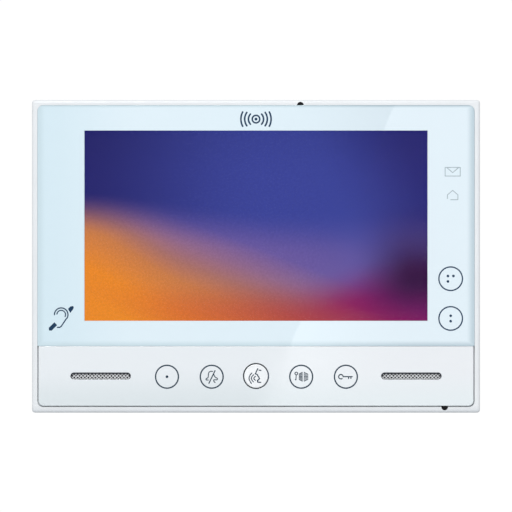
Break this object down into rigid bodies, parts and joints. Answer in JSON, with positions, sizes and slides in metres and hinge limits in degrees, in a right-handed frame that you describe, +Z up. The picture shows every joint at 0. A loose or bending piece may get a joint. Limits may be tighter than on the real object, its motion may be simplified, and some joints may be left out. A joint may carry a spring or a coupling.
{
  "type": "video intercom monitor",
  "caption": "Flat wall-mounted hands-free video intercom monitor with a landscape screen, touch keys, raised talk button, slotted speakers and hook-on wall bracket.",
  "frame": {"origin": "on the wall face of the bracket, at the middle of the monitor's outline", "axes": "+X to the viewer's right, +Z up, +Y into the wall, so the screen looks along -Y"},
  "size_m": [0.202, 0.0252, 0.141],
  "materials": {
    "bracket": "zinc plated sheet, satin",
    "case": "white, fine satin",
    "fascia": "white, gloss",
    "glass": "polished, white-backed around a clear window",
    "tape": "black adhesive foam",
    "rubber": "black, matt",
    "foam": "dark grey, matt",
    "grille": "expanded mesh",
    "steel": "bright sheet",
    "screw": "zinc plated",
    "copper": "enamelled copper wire",
    "screen": "polished display surface",
    "diffuser": "translucent white",
    "board": "green solder resist",
    "component": "black moulding",
    "terminal": "green moulding",
    "dip": "blue moulding",
    "ribbon": "amber film",
    "cone": "black cone"
  },
  "bodies": {
    "bracket": {"wall_bracket": "bracket"},
    "monitor": {"rear_cover": "case", "front_bezel": "case", "display_glass": "glass", "glass_tape": "tape", "control_fascia": "fascia", "talk_switch": "component", "key_board": "board", "key_light_guide": "diffuser", "side_key_board": "board", "touch_mat": "foam", "status_light_shroud": "diffuser", "hearing_loop_coil": "copper", "lcd_seal": "foam", "lcd_frame": "steel", "lcd_cell": "screen", "lcd_light_guide": "diffuser", "lcd_tray": "steel", "lcd_clamp_top": "steel", "lcd_clamp_bottom": "steel", "lcd_ribbon": "ribbon", "lcd_socket": "diffuser", "main_board": "board", "processor_shield": "steel", "bus_transformer": "component", "supply_capacitor": "component", "key_ribbon": "ribbon", "terminal_block": "terminal", "dip_switch_body": "dip", "speaker_mesh_left": "grille", "speaker_driver_left": "component", "speaker_cone_left": "cone", "speaker_lead_left": "component", "speaker_mesh_right": "grille", "speaker_driver_right": "component", "speaker_cone_right": "cone", "speaker_lead_right": "component", "microphone_boot_top": "rubber", "microphone_top": "steel", "microphone_boot_bottom": "rubber", "microphone_bottom": "steel", "terminal_screw_1": "screw", "case_screw_1": "screw", "board_screw_1": "screw", "terminal_screw_2": "screw", "case_screw_2": "screw", "board_screw_2": "screw", "terminal_screw_3": "screw", "case_screw_3": "screw", "board_screw_3": "screw", "terminal_screw_4": "screw", "case_screw_4": "screw", "board_screw_4": "screw"},
    "talk_key": {"talk_button": "fascia", "talk_plunger": "component"},
    "code_lever_1": {"dip_lever_1": "diffuser"},
    "code_lever_2": {"dip_lever_2": "diffuser"},
    "code_lever_3": {"dip_lever_3": "diffuser"},
    "code_lever_4": {"dip_lever_4": "diffuser"}
  },
  "joints": [
    {"name": "monitor_lift", "type": "slide", "parent": "bracket", "child": "monitor", "axis": [0, 0, 1], "range_m": [0, 0.0046]},
    {"name": "talk_press", "type": "slide", "parent": "monitor", "child": "talk_key", "axis": [0, 1, 0], "range_m": [0, 0.0008], "stiffness_N_per_m": 1500},
    {"name": "code_lever_1_slide", "type": "slide", "parent": "monitor", "child": "code_lever_1", "axis": [0, 0, 1], "range_m": [0, 0.0016]},
    {"name": "code_lever_2_slide", "type": "slide", "parent": "monitor", "child": "code_lever_2", "axis": [0, 0, 1], "range_m": [0, 0.0016]},
    {"name": "code_lever_3_slide", "type": "slide", "parent": "monitor", "child": "code_lever_3", "axis": [0, 0, 1], "range_m": [0, 0.0016]},
    {"name": "code_lever_4_slide", "type": "slide", "parent": "monitor", "child": "code_lever_4", "axis": [0, 0, 1], "range_m": [0, 0.0016]}
  ]
}
